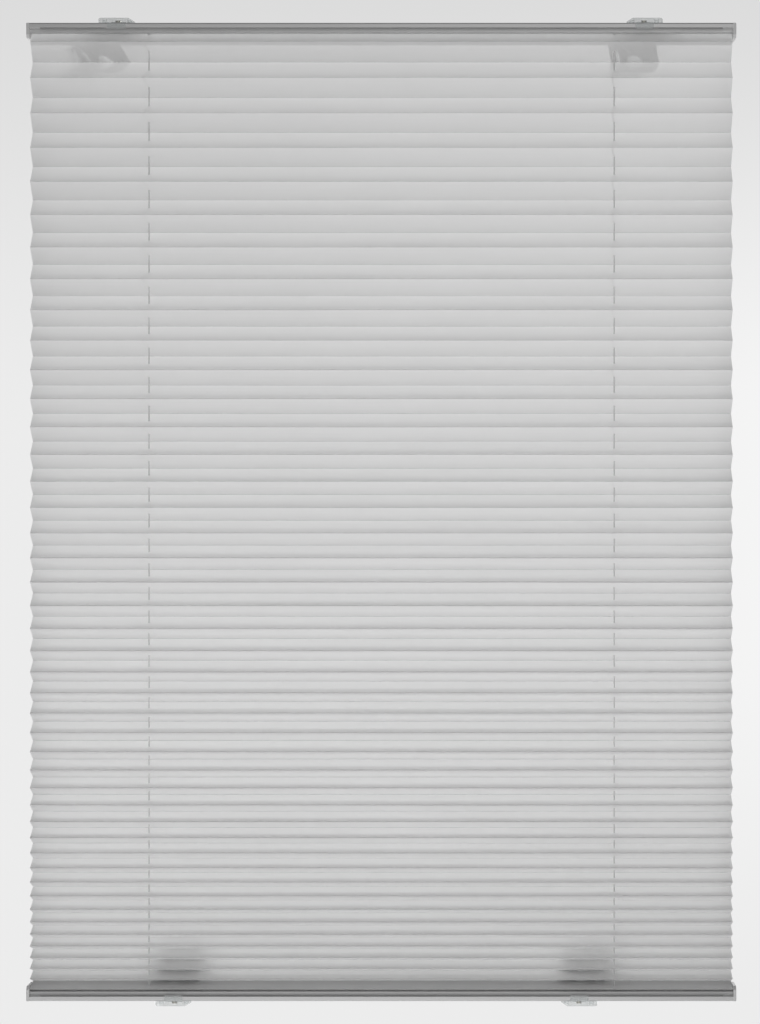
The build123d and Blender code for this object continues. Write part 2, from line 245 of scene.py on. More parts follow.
class Finish(Tree):
    """A new material with its output, and the patterns that finishes are made of."""

    def __init__(self, name):
        self.material = bpy.data.materials.new(name)
        self.material.use_nodes = True
        super().__init__(self.material.node_tree)
        self.group.nodes.clear()
        self.out = self.node("ShaderNodeOutputMaterial")

    def place(self):
        """Where a point is on its object."""
        return self.node("ShaderNodeTexCoord", None, None, "Object")

    def stretched(self, sizes):
        """Object coordinates divided by the size of a pattern along each axis."""
        return self.vector("MULTIPLY", self.place(), [1.0 / size for size in sizes])

    def noise(self, vector, detail=2.0, rough=0.5, scale=1.0):
        """Soft random tones, 0 to 1."""
        return self.node("ShaderNodeTexNoise", {"noise_dimensions": "3D"},
                         {"Vector": vector, "Scale": scale, "Detail": detail, "Roughness": rough})

    def cells(self, vector, scale=1.0):
        """Distance to the middle of the nearest of many random cells."""
        return self.node("ShaderNodeTexVoronoi", {"feature": "F1"},
                         {"Vector": vector, "Scale": scale})

    def bump(self, height, depth, strength=1.0):
        """A normal tilted by a pattern of heights."""
        return self.node("ShaderNodeBump", None,
                         {"Height": height, "Distance": depth, "Strength": strength})

    def shade(self, surface):
        """Makes a shader the surface of the material, and gives the material."""
        self.group.links.new(surface.output, self.out.inputs["Surface"])
        return self.material

    def principled(self, values):
        """A material of one Principled shader."""
        return self.shade(self.node("ShaderNodeBsdfPrincipled", None, values))


def shift(color, share):
    """A colour made lighter or darker by a share, as a node input."""
    return [min(1.0, channel * share) for channel in color[:3]] + [1.0]


# ---- finishes ------------------------------------------------------------------------
def satin_aluminium(color):
    """Extruded, brushed and anodised: long fine lines along the rail."""
    f = Finish("satin anodised aluminium")
    lines = f.noise(f.stretched((0.16, 0.00055, 0.00055)), detail=3.0, rough=0.6)
    clouds = f.noise(f.stretched((0.05, 0.02, 0.02)), detail=2.0)
    tone = f.fade(lines, 0.25, 0.75) * 0.7 + clouds * 0.3
    return f.principled({
        "Base Color": f.mix(tone, shift(color, 0.9), shift(color, 1.07)),
        "Metallic": 0.55,
        "Roughness": 0.4 + lines * 0.12,
        "Normal": f.bump(lines, depth=0.00002, strength=0.5),
    })


def moulded_plastic(name, color, rough=0.45, grain=0.0005):
    """Injection-moulded: a fine spark-eroded grain and a faint flow of tone."""
    f = Finish(name)
    skin = f.noise(f.place(), detail=3.0, rough=0.6, scale=1.0 / grain)
    flow = f.noise(f.place(), detail=2.0, rough=0.5, scale=70.0)
    return f.principled({
        "Base Color": f.mix(f.fade(flow, 0.3, 0.7), shift(color, 0.93), shift(color, 1.04)),
        "Roughness": rough + skin * 0.12,
        "Normal": f.bump(skin, depth=0.00004, strength=0.35),
    })


def extruded_plastic(color):
    """Strip that grips the cloth: die lines along its length."""
    f = Finish("extruded strip plastic")
    lines = f.noise(f.stretched((0.3, 0.0006, 0.0006)), detail=2.0, rough=0.6)
    return f.principled({
        "Base Color": f.mix(lines, shift(color, 0.92), shift(color, 1.04)),
        "Roughness": 0.36 + lines * 0.16,
        "Normal": f.bump(lines, depth=0.00003, strength=0.4),
    })


def painted_steel(color):
    """Powder coat with its orange peel, thin and a little rubbed in places."""
    f = Finish("powder coated steel")
    peel = f.noise(f.place(), detail=2.0, rough=0.5, scale=900.0)
    rub = f.fade(f.noise(f.place(), detail=5.0, rough=0.65, scale=160.0), 0.68, 0.76)
    return f.principled({
        "Base Color": f.mix(rub, shift(color, 1.0), shift(color, 0.72)),
        "Metallic": rub * 0.4,
        "Roughness": 0.34 + peel * 0.14,
        "Normal": f.bump(peel, depth=0.00006, strength=0.4),
    })


def zinc_steel(color):
    """Zinc plate: small bright and dull crystals."""
    f = Finish("zinc plated steel")
    spangle = f.cells(f.place(), 1400.0)
    stain = f.noise(f.place(), detail=4.0, rough=0.6, scale=240.0)
    return f.principled({
        "Base Color": f.mix(stain, shift(color, 0.82), shift(color, 1.08)),
        "Metallic": 1.0,
        "Roughness": 0.26 + stain * 0.2 + spangle * 0.08,
        "Normal": f.bump(spangle, depth=0.00002, strength=0.3),
    })


def crimped_brass(color):
    """Nickelled tube with the lines of its drawing."""
    f = Finish("nickelled brass")
    drawn = f.noise(f.stretched((0.0004, 0.0004, 0.004)), detail=3.0, rough=0.6)
    return f.principled({
        "Base Color": f.mix(drawn, shift(color, 0.85), shift(color, 1.08)),
        "Metallic": 1.0,
        "Roughness": 0.24 + drawn * 0.2,
        "Normal": f.bump(drawn, depth=0.00002, strength=0.4),
    })


def foam_pad(color):
    """Closed-cell foam, with the skin of its cut cells."""
    f = Finish("closed cell foam")
    bubble = f.cells(f.place(), 2600.0)
    cloud = f.noise(f.place(), detail=2.0, rough=0.5, scale=260.0)
    return f.principled({
        "Base Color": f.mix(bubble * 0.7 + cloud * 0.3, shift(color, 0.8), shift(color, 1.1)),
        "Roughness": 0.86 + cloud * 0.1,
        "Normal": f.bump(bubble, depth=0.0001, strength=0.6),
    })


def clear_plastic(name, color, clear, rough=0.1):
    """Clear and glossy, with faint flow lines and a thin frosting."""
    f = Finish(name)
    flow = f.noise(f.place(), detail=3.0, rough=0.55, scale=260.0)
    haze = f.noise(f.place(), detail=2.0, rough=0.5, scale=1800.0)
    solid = f.node("ShaderNodeBsdfPrincipled", None, {
        "Base Color": f.mix(flow, shift(color, 0.9), shift(color, 1.05)),
        "Roughness": rough + haze * 0.12,
        "IOR": 1.49,
        "Coat Roughness": 0.04,
        "Normal": f.bump(flow, depth=0.00003, strength=0.3),
    })
    see = f.node("ShaderNodeBsdfTransparent", None, {"Color": (0.97, 0.98, 0.98, 1.0)})
    rim = f.node("ShaderNodeLayerWeight", None, {"Blend": 0.35}, "Facing")
    cover = (1.0 - clear) + rim * 0.25 + flow * 0.06
    return f.shade(f.node("ShaderNodeMixShader", None, {0: cover, 1: see, 2: solid}))


def pleated_cloth(settings):
    """Thin woven polyester that lets light through, stiffened and creased at its folds, with
    painted shade along every fold.
    """
    f = Finish("pleated polyester cloth")
    across, down, _ = f.split(f.node("ShaderNodeUVMap", {"uv_map": "UVMap"}))
    wide = across * settings.width
    long = down * (settings.panels * settings.face)
    turns = 2.0 * math.pi / settings.thread
    warp = f.sine(wide * turns)
    weft = f.sine(long * turns)
    weave = warp * weft
    slubs = f.noise(f.join(wide * 22.0, long * 420.0, 0.0), detail=3.0, rough=0.6)
    cloud = f.noise(f.join(wide * 9.0, long * 30.0, 0.0), detail=2.0)
    # Painted shade: a narrow band along every fold is darkened and lets less light through.
    fold = f.math("ABSOLUTE", f.math("SUBTRACT", f.math("FRACT", down * settings.panels), 0.5))
    crease = f.fade(fold, 0.5 - settings.crease / settings.face, 0.5)
    tone = slubs * 0.5 + cloud * 0.5
    face = f.mix(tone, shift(settings.color, 0.965), shift(settings.color, 1.02))
    # Painted shade: the colour is darkened towards each fold.
    face = f.mix(crease * settings.crease_shade_tone, face, shift(settings.color, 0.6))
    normal = f.bump(weave * 0.6 + slubs * 0.4, depth=0.00004, strength=0.35)
    cover = f.node("ShaderNodeBsdfDiffuse", None, {"Color": face, "Normal": normal})
    through = f.node("ShaderNodeBsdfTranslucent", None, {"Color": face, "Normal": normal})
    # Painted shade: less light goes through along the folds.
    share = settings.sheer + weave * 0.02 + (tone - 0.5) * 0.05 - crease * 0.05
    return f.shade(f.node("ShaderNodeMixShader", None, {0: share, 1: cover, 2: through}))


def braided_cord(color, lay):
    """Round braid: two sets of yarns that cross as they wind along the cord."""
    f = Finish("braided polyester cord")
    turn = f.node("ShaderNodeAttribute", {"attribute_name": "yarn"}, None, "Vector")
    cosine, sine, along = f.split(turn)
    double_cosine = cosine * cosine * 2.0 - 1.0
    double_sine = sine * cosine * 2.0
    angle = along * (2.0 * math.pi / lay)
    up, side = f.sine(angle), f.cosine(angle)
    right = up * double_cosine + side * double_sine
    left = up * double_cosine - side * double_sine
    yarns = f.math("ABSOLUTE", right) * f.math("ABSOLUTE", left)
    fuzz = f.noise(f.place(), detail=2.0, rough=0.6, scale=3000.0)
    return f.principled({
        "Base Color": f.mix(yarns * 0.7 + fuzz * 0.3, shift(color, 0.74), shift(color, 1.08)),
        "Roughness": 0.72 + fuzz * 0.16,
        "Normal": f.bump(yarns + fuzz * 0.3, depth=0.00012, strength=0.7),
    })


def floor_paint(color, glow):
    """Pale paint, lit a little by itself so that it stays pale under the lamps."""
    f = Finish("pale floor paint")
    cloud = f.noise(f.place(), detail=2.0, rough=0.5, scale=3.0)
    return f.principled({
        "Base Color": f.mix(cloud, shift(color, 0.99), shift(color, 1.01)),
        "Roughness": 0.8,
        "Emission Color": (1.0, 1.0, 1.0, 1.0),
        "Emission Strength": glow,
    })


# ---- making --------------------------------------------------------------------------
def sockets_of(tree, wanted):
    """Gives a Geometry Nodes group its named inputs and its output."""
    kinds = {"geometry": "NodeSocketGeometry", "number": "NodeSocketFloat",
             "count": "NodeSocketInt", "finish": "NodeSocketMaterial"}
    for name, kind in wanted:
        tree.group.interface.new_socket(name, in_out="INPUT", socket_type=kinds[kind])
    tree.group.interface.new_socket("Geometry", in_out="OUTPUT", socket_type="NodeSocketGeometry")
    start = tree.node("NodeGroupInput")
    return {name: start.get(name) for name, _ in wanted}


def grown(base, group, values, name):
    """Runs a Geometry Nodes group on a base object and keeps the result as a plain mesh."""
    modifier = base.modifiers.new("make", "NODES")
    modifier.node_group = group
    keys = {item.name: item.identifier for item in group.interface.items_tree
            if item.item_type == "SOCKET" and item.in_out == "INPUT"}
    for key, value in values.items():
        modifier[keys[key]] = value
    bpy.context.view_layer.update()
    graph = bpy.context.evaluated_depsgraph_get()
    mesh = bpy.data.meshes.new_from_object(base.evaluated_get(graph), depsgraph=graph)
    base.modifiers.remove(modifier)
    bpy.data.objects.remove(base)
    mesh.name = name
    return linked(name, mesh)


def linked(name, data):
    """A new object in the scene."""
    made = bpy.data.objects.new(name, data)
    bpy.context.collection.objects.link(made)
    return made


def spread(low, high, step):
    """Even places from low to high, both in it."""
    count = max(1, round((high - low) / step))
    return [low + (high - low) * k / count for k in range(count + 1)]


def cloth_panel(settings):
    """One face of a pleat, flat and upright at the origin, with its two punched holes."""
    cord_x = CAD_BOX[1][0] - settings.cord_inset
    half, tall = settings.width / 2, settings.face / 2
    cell = settings.face / PANEL_ROWS
    columns, start = [], -half
    for middle in (-cord_x, cord_x):
        columns += spread(start, middle - HOLE_REACH * cell, COLUMN_STEP)
        columns += [middle - cell, middle, middle + cell]
        start = middle + HOLE_REACH * cell
    columns += spread(start, half, COLUMN_STEP)
    rows = [tall - cell * k for k in range(PANEL_ROWS + 1)]
    mesh = bmesh.new()
    depth = mesh.verts.layers.float.new("depth")
    grid = [[mesh.verts.new((x, 0.0, z)) for x in columns] for z in rows]
    holes = {side: min(range(len(columns)), key=lambda k: abs(columns[k] - side * cord_x))
             for side in (-1, 1)}
    reach = range(-HOLE_REACH, HOLE_REACH)
    hole_row = PANEL_ROWS // 2
    for r in range(PANEL_ROWS):
        for c in range(len(columns) - 1):
            if r - hole_row in reach and any(c - h in reach for h in holes.values()):
                continue
            mesh.faces.new((grid[r][c], grid[r + 1][c], grid[r + 1][c + 1], grid[r][c + 1]))
    back = range(HOLE_REACH, -HOLE_REACH, -1)
    rim = ([(HOLE_REACH, c) for c in reach] + [(r, HOLE_REACH) for r in back]
           + [(-HOLE_REACH, c) for c in back] + [(r, -HOLE_REACH) for r in reach])
    for side, column in holes.items():
        outer = [grid[hole_row - up][column + over] for up, over in rim]
        inner = []
        for k in range(len(rim)):
            turn = math.radians(HOLE_START - 360.0 / len(rim) * k)
            inner.append(mesh.verts.new((side * cord_x + settings.punch / 2 * math.cos(turn), 0.0,
                                         settings.punch / 2 * math.sin(turn))))
        for k in range(len(rim)):
            n = (k + 1) % len(rim)
            mesh.faces.new((outer[k], inner[k], inner[n], outer[n]))
    for vert in mesh.verts:
        vert[depth] = 0.5 - vert.co.z / settings.face
    data = bpy.data.meshes.new("cloth panel")
    mesh.to_mesh(data)
    mesh.free()
    return linked("cloth_panel", data)


def pleat_group():
    """Hangs the panel it is given from fold to fold, by the law of the pitches."""
    t = Tree(bpy.data.node_groups.new("pleats", "GeometryNodeTree"))
    s = sockets_of(t, [
        ("Panel", "geometry"), ("Panels", "count"), ("First Panel", "count"),
        ("Last Panel", "count"), ("Face", "number"), ("Width", "number"),
        ("First Pitch", "number"), ("Last Pitch", "number"), ("Sag Power", "number"),
        ("Top", "number"), ("Bottom", "number"), ("Middle", "number"), ("Drift", "number"),
        ("Seed", "number"), ("Finish", "finish")])
    points = t.node("GeometryNodePoints", None, {"Count": s["Panels"]})
    index = t.node("GeometryNodeInputIndex")
    pitches = (s["Panels"] - 2.0) / 2.0
    number = t.math("MINIMUM", t.math("MAXIMUM", t.math("FLOOR", (index - 1.0) / 2.0), 0.0),
                    pitches - 1.0)
    share = (1.0 - number / (pitches - 1.0)) ** s["Sag Power"]
    drop = (s["Last Pitch"] + (s["First Pitch"] - s["Last Pitch"]) * share) / 2.0
    passed = t.node("GeometryNodeAccumulateField", {"data_type": "FLOAT", "domain": "POINT"},
                    {"Value": drop}, "Trailing")
    whole = passed.get("Total")
    ends = (s["First Pitch"] + s["Last Pitch"]) / 4.0
    fit = (s["Top"] - s["Bottom"]) / (whole - ends)
    height = s["Top"] - fit * (passed + drop / 2.0 - s["First Pitch"] / 4.0)
    way = 2.0 * t.math("MODULO", index, 2.0) - 1.0
    tilt = way * t.math("ARCCOSINE", fit * drop / s["Face"])
    points = t.node("GeometryNodeSetPosition", None,
                    {"Geometry": points, "Position": t.join(0.0, s["Middle"], height)})
    points = t.store(t.store(points, "tilt", tilt), "panel", index)
    outside = t.math("ADD", t.math("LESS_THAN", index, s["First Panel"]),
                     t.math("GREATER_THAN", index, s["Last Panel"]))
    points = t.node("GeometryNodeDeleteGeometry", {"domain": "POINT"},
                    {"Geometry": points, "Selection": outside})

    turn = t.node("FunctionNodeEulerToRotation", None, {0: t.join(t.stored("tilt"), 0.0, 0.0)})
    hung = t.node("GeometryNodeInstanceOnPoints", None,
                  {"Points": points, "Instance": s["Panel"], "Rotation": turn})
    cloth = t.node("GeometryNodeRealizeInstances", None, {0: hung})
    x, y, z = t.split(t.node("GeometryNodeInputPosition"))
    down = (t.stored("panel") + t.stored("depth")) / s["Panels"]
    flat = t.join(x / s["Width"] + 0.5, 1.0 - down, 0.0)
    cloth = t.store(cloth, "UVMap", flat, "FLOAT2", "CORNER")
    beyond = t.math("ADD", t.math("GREATER_THAN", z, s["Top"] + CLOTH_WELD),
                    t.math("LESS_THAN", z, s["Bottom"] - CLOTH_WELD))
    cloth = t.node("GeometryNodeDeleteGeometry", {"domain": "FACE"},
                   {"Geometry": cloth, "Selection": beyond})
    cloth = t.node("GeometryNodeMergeByDistance", None, {"Geometry": cloth, "Distance": CLOTH_WELD})
    place = t.join(x * 6.0, y * 30.0 + s["Seed"], z * 45.0)
    sway = t.node("ShaderNodeTexNoise", {"noise_dimensions": "3D"},
                  {"Vector": place, "Scale": 1.0, "Detail": 1.0}, "Color")
    sway = t.vector("MULTIPLY", t.vector("SUBTRACT", sway, (0.5, 0.5, 0.5)),
                    t.join(0.0, s["Drift"] * 2.0, s["Drift"] * 2.0))
    cloth = t.node("GeometryNodeSetPosition", None, {"Geometry": cloth, "Offset": sway})
    return t.give_out(cloth, s["Finish"])


def cord_group():
    """A round cord along the line it is given, with its own way round and along stored."""
    t = Tree(bpy.data.node_groups.new("cord", "GeometryNodeTree"))
    s = sockets_of(t, [("Line", "geometry"), ("Diameter", "number"), ("Sides", "count"),
                       ("Spacing", "number"), ("Finish", "finish")])
    line = t.node("GeometryNodeResampleCurve", {"mode": "LENGTH"},
                  {"Curve": s["Line"], "Length": s["Spacing"]})
    length = t.node("GeometryNodeSplineParameter", None, None, "Length")
    line = t.store(line, "along", length)
    ring = t.node("GeometryNodeCurvePrimitiveCircle", {"mode": "RADIUS"},
                  {"Resolution": s["Sides"], "Radius": s["Diameter"] / 2.0})
    angle = t.node("GeometryNodeInputIndex") * (2.0 * math.pi) / s["Sides"]
    ring = t.store(ring, "yarn", t.join(t.cosine(angle), t.sine(angle), 0.0), "FLOAT_VECTOR")
    cord = t.node("GeometryNodeCurveToMesh", None,
                  {"Curve": line, "Profile Curve": ring, "Fill Caps": True})
    turned = t.vector("ADD", t.stored("yarn", "FLOAT_VECTOR"),
                      t.join(0.0, 0.0, t.stored("along")))
    cord = t.store(cord, "yarn", turned, "FLOAT_VECTOR")
    cord = t.node("GeometryNodeRealizeInstances", None, {0: cord})
    return t.give_out(cord, s["Finish"])


def thread_group():
    """Adds a threaded shank along Y to the screw head it is given."""
    t = Tree(bpy.data.node_groups.new("thread", "GeometryNodeTree"))
    s = sockets_of(t, [("Head", "geometry"), ("Start", "number"), ("Tip", "number"),
                       ("Diameter", "number"), ("Pitch", "number"), ("Across", "number"),
                       ("Height", "number"), ("Rings", "count"), ("Sides", "count"),
                       ("Finish", "finish")])
    sheet = t.node("GeometryNodeMeshGrid", None,
                   {"Size X": 1.0, "Size Y": 1.0, "Vertices X": s["Sides"] + 1.0,
                    "Vertices Y": s["Rings"]})
    x, y, _ = t.split(t.node("GeometryNodeInputPosition"))
    share = y + 0.5
    run = share * (s["Tip"] - s["Start"])
    climb = t.math("FRACT", run / s["Pitch"] + x + THREAD_PHASE)
    tooth = t.math("ABSOLUTE", climb - 0.5) * 2.0
    point = t.math("MAXIMUM", run - (s["Tip"] - s["Start"] - POINT_LENGTH), 0.0)
    cut = t.math("MINIMUM", run / THREAD_START, 1.0)
    radius = s["Diameter"] / 2.0 - s["Pitch"] * THREAD_DEPTH * tooth * cut - point
    radius = radius * t.math("LESS_THAN", share, TIP_SHARE)
    angle = x * (2.0 * math.pi)
    place = t.join(s["Across"] + radius * t.sine(angle), s["Start"] + run,
                   s["Height"] + radius * t.cosine(angle))
    shank = t.node("GeometryNodeSetPosition", None, {"Geometry": sheet, "Position": place})
    shank = t.node("GeometryNodeMergeByDistance", None, {"Geometry": shank, "Distance": SCREW_WELD})
    both = t.node("GeometryNodeJoinGeometry")
    t.group.links.new(shank.output, both.output.node.inputs[0])
    t.group.links.new(s["Head"].output, both.output.node.inputs[0])
    screw = t.node("GeometryNodeRealizeInstances", None, {0: both})
    return t.give_out(screw, s["Finish"])


def screw_head(across, height, back, settings):
    """Pan head with a hexagon socket, closed, its rings joined from the socket outwards."""
    radius, face = settings.head / 2, back - settings.head_height
    key = settings.key / 2

    def hexagon(k):
        turn = 2 * math.pi * k / HEAD_SIDES
        return key / math.cos((turn + math.pi / 6) % (math.pi / 3) - math.pi / 6)

    rings = [
        (hexagon, face + 0.0016), (hexagon, face + 0.0001),            # the socket
        (lambda k: hexagon(k) + 0.0001, face), (lambda k: radius - 0.0006, face),
        (lambda k: radius - 0.00025, face + 0.00012),                  # the rounded shoulder
        (lambda k: radius - 0.00005, face + 0.0004), (lambda k: radius, face + 0.0008),
        (lambda k: radius, back - 0.0001), (lambda k: radius - 0.0001, back),
    ]
    mesh = bmesh.new()
    made = []
    for reach, y in rings:
        made.append([mesh.verts.new((across + reach(k) * math.sin(2 * math.pi * k / HEAD_SIDES), y,
                                     height + reach(k) * math.cos(2 * math.pi * k / HEAD_SIDES)))
                     for k in range(HEAD_SIDES)])
    for one, two in zip(made[:-1], made[1:]):
        for k in range(HEAD_SIDES):
            n = (k + 1) % HEAD_SIDES
            mesh.faces.new((one[k], two[k], two[n], one[n]))
    for ring, y in ((made[0], rings[0][1]), (made[-1], back)):
        middle = mesh.verts.new((across, y, height))
        for k in range(HEAD_SIDES):
            mesh.faces.new((ring[k], ring[(k + 1) % HEAD_SIDES], middle))
    bmesh.ops.recalc_face_normals(mesh, faces=mesh.faces)
    data = bpy.data.meshes.new("screw head")
    mesh.to_mesh(data)
    mesh.free()
    return linked("screw_head", data)


def smooth(piece, angle):
    """Smooth shading, with sharp edges where faces meet at more than an angle in degrees."""
    piece.data.shade_smooth()
    piece.data.set_sharp_from_angle(angle=math.radians(angle))


def at_corners(kind):
    """The four CAD nodes of a kind, one at each bracket."""
    return [f"{corner}_{kind}" for corner in CORNERS]


def at_rail_ends(kind):
    """The four CAD nodes of a kind, on the left and the right of both rails."""
    return [f"{level}_{kind}_{side}" for level in ("top", "bottom") for side in ("left", "right")]


def coat(nodes, material):
    """Puts a finish on CAD nodes, in all their material slots."""
    for name in nodes:
        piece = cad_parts[name]
        if not piece.material_slots:
            raise RuntimeError(f"{name} has no material slot")
        for slot in piece.material_slots:
            slot.link = "OBJECT"
            slot.material = material


# ---- settings ------------------------------------------------------------------------
def length(name, text, default):
    """A setting in metres."""
    return FloatProperty(name=name, description=text, default=default, subtype="DISTANCE",
                         unit="LENGTH", precision=4)


def tint(name, text, default):
    """A setting that is a colour."""
    return FloatVectorProperty(name=name, description=text, default=default, subtype="COLOR",
                               size=3, min=0.0, max=1.0)


class ClothSettings(bpy.types.PropertyGroup):
    """Sizes and looks of the pleated cloth"""
    width: length("Width", "Width of the cloth", CLOTH_HIGH.x - CLOTH_LOW.x)
    face: length("Face", "One face of a pleat, fold to fold", 0.020)
    panels: IntProperty(name="Panels", description="Faces down the cloth, with both half faces",
                        default=88, min=8)
    upper_panels: IntProperty(name="Upper Panels", description="Faces in the upper half",
                              default=31, min=3)
    first_pitch: length("First Pitch", "Height of the topmost pleat before fitting", 0.02568)
    last_pitch: length("Last Pitch", "Height of the lowest pleat before fitting", 0.007272)
    sag_power: FloatProperty(name="Sag Power", description="How the pitch falls from top to bottom",
                             default=1.2, min=0.2)
    punch: length("Punched Hole", "Diameter of the holes for the cords", 0.0018)
    cord_inset: length("Cord Inset", "From the end of a rail to its cord", 0.0855)
    drift: length("Drift", "How far the folds wander from their places", 0.00012)
    thread: length("Thread", "Spacing of the threads of the weave", 0.0007)
    # The crease width and crease tone set the width and darkness of the painted shade along each
    # fold.
    crease: length("Crease", "Half width of the pressed crease", 0.0007)
    crease_shade_tone: FloatProperty(name="Crease Tone", description="Darkness of the pressed crease",
                               default=0.22, min=0.0, max=1.0, subtype="FACTOR")
    color: tint("Colour", "Colour of the cloth", (0.96, 0.96, 0.96))
    sheer: FloatProperty(name="Sheer", description="Share of the light that goes through",
                         default=0.42, min=0.0, max=1.0, subtype="FACTOR")


class CordSettings(bpy.types.PropertyGroup):
    """Sizes and looks of the tension cords"""
    diameter: length("Diameter", "Diameter of a cord", 0.001)
    lane: length("Lane", "Depth of a cord's run inside a rail, below its outer face", 0.0025)
    lay: length("Lay", "Length in which a yarn goes half round the cord", 0.0042)
    color: tint("Colour", "Colour of the cords", (0.92, 0.92, 0.92))


class RailSettings(bpy.types.PropertyGroup):
    """Looks of the rails and of the pieces in them"""
    metal: tint("Aluminium", "Colour of the anodised rails", (0.64, 0.64, 0.64))
    cap: tint("End Caps", "Colour of the end caps", (0.78, 0.78, 0.78))
    strip: tint("Strips", "Colour of the cloth strips", (0.74, 0.74, 0.74))
    guide: tint("Cord Guides", "Colour of the cord eyelets", (0.75, 0.75, 0.74))


class BracketSettings(bpy.types.PropertyGroup):
    """Looks of the clamp brackets, and sizes of their screws"""
    paint: tint("Paint", "Colour of the painted steel", (0.80, 0.80, 0.79))
    pad: tint("Pads", "Colour of the foam pads", (0.30, 0.30, 0.30))
    clear: tint("Clear Plastic", "Tint of the clear shoes", (0.95, 0.96, 0.96))
    clarity: FloatProperty(name="Clarity", description="How much is seen through the shoes",
                           default=0.86, min=0.0, max=1.0, subtype="FACTOR")
    zinc: tint("Zinc", "Colour of the screws and nuts", (0.66, 0.66, 0.67))
    brass: tint("Ferrules", "Colour of the crimped ferrules", (0.66, 0.62, 0.52))
    head: length("Head", "Diameter of the screw head", 0.007)
    head_height: length("Head Height", "Height of the screw head", 0.0024)
    key: length("Key", "Width across the hexagon socket", 0.0025)
    shank: length("Shank", "Diameter of the screw", 0.004)
    pitch: length("Thread Pitch", "Pitch of the screw thread", 0.0007)


class StageSettings(bpy.types.PropertyGroup):
    """Floor, light and camera"""
    distance: length("Camera Distance", "From the front of the blind to the camera", 2.55)
    aside: length("Camera Aside", "How far the camera stands to the right", 0.058)
    view_height: length("View Height", "What the camera takes in at the front of the blind", 0.7210)
    drop: length("Floor Drop", "From the middle of the blind to the floor", 1.3)
    floor: tint("Floor", "Colour of the floor", (0.80, 0.80, 0.80))
    floor_glow: FloatProperty(name="Floor Glow", description="Light the floor gives off",
                              default=0.35, min=0.0)
    wall: FloatProperty(name="Wall", description="Tone of the wall the blind is seen before",
                        default=0.84, min=0.0)
    sky: FloatProperty(name="Surround", description="Brightness of the room round the blind",
                       default=0.10, min=0.0)
    key: FloatProperty(name="Key", description="Power of the lamp behind the blind",
                       default=7.2, min=0.0, unit="POWER")
    glow: FloatProperty(name="Back Glow", description="Power of the broad light behind the blind",
                        default=6.9, min=0.0, unit="POWER")
    fill: FloatProperty(name="Fill", description="Power of the broad light in front and above",
                        default=10.0, min=0.0, unit="POWER")
    low: FloatProperty(name="Low Fill", description="Power of the broad light in front and below",
                       default=4.0, min=0.0, unit="POWER")


class BlindSettings(bpy.types.PropertyGroup):
    """All sizes and looks of the blind"""
    cloth: PointerProperty(type=ClothSettings, name="Cloth", description="Pleated cloth")
    cord: PointerProperty(type=CordSettings, name="Cords", description="Tension cords")
    rail: PointerProperty(type=RailSettings, name="Rails", description="Rails")
    bracket: PointerProperty(type=BracketSettings, name="Brackets", description="Clamp brackets")
    stage: PointerProperty(type=StageSettings, name="Stage", description="Floor, light, camera")


# ---- operators -----------------------------------------------------------------------
class BLIND_OT_cloth(bpy.types.Operator):
    """Hang the pleated cloth between the two strips, in an upper and a lower half"""
    bl_idname = "blind.cloth"
    bl_label = "Pleated Cloth"

    def execute(self, context):
        settings = context.scene.blind.cloth
        finish = pleated_cloth(settings)
        group = pleat_group()
        split = settings.upper_panels
        halves = (("upper", 0, split - 1, "top_rail_slide", "top_fabric_strip"),
                  ("lower", split, settings.panels - 1, "bottom_rail_slide",
                   "bottom_fabric_strip"))
        made = []
        for word, first, last, _, _ in halves:
            made.append(grown(cloth_panel(settings), group, {
                "Panels": settings.panels, "First Panel": first, "Last Panel": last,
                "Face": settings.face, "Width": settings.width,
                "First Pitch": settings.first_pitch, "Last Pitch": settings.last_pitch,
                "Sag Power": settings.sag_power, "Top": CLOTH_HIGH.z, "Bottom": CLOTH_LOW.z,
                "Middle": CORD_PLANE, "Drift": settings.drift, "Seed": DRIFT_SEED,
                "Finish": finish,
            }, f"pleated_cloth_{word}_half"))
            smooth(made[-1], 20)
        seam = min(vert.co.z for vert in made[0].data.vertices)
        for piece, (word, first, last, joint, holder) in zip(made, halves):
            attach(piece, "frame")
            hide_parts("pleated_fabric")
            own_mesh(piece)
        context.scene["seam"] = seam
        return {"FINISHED"}


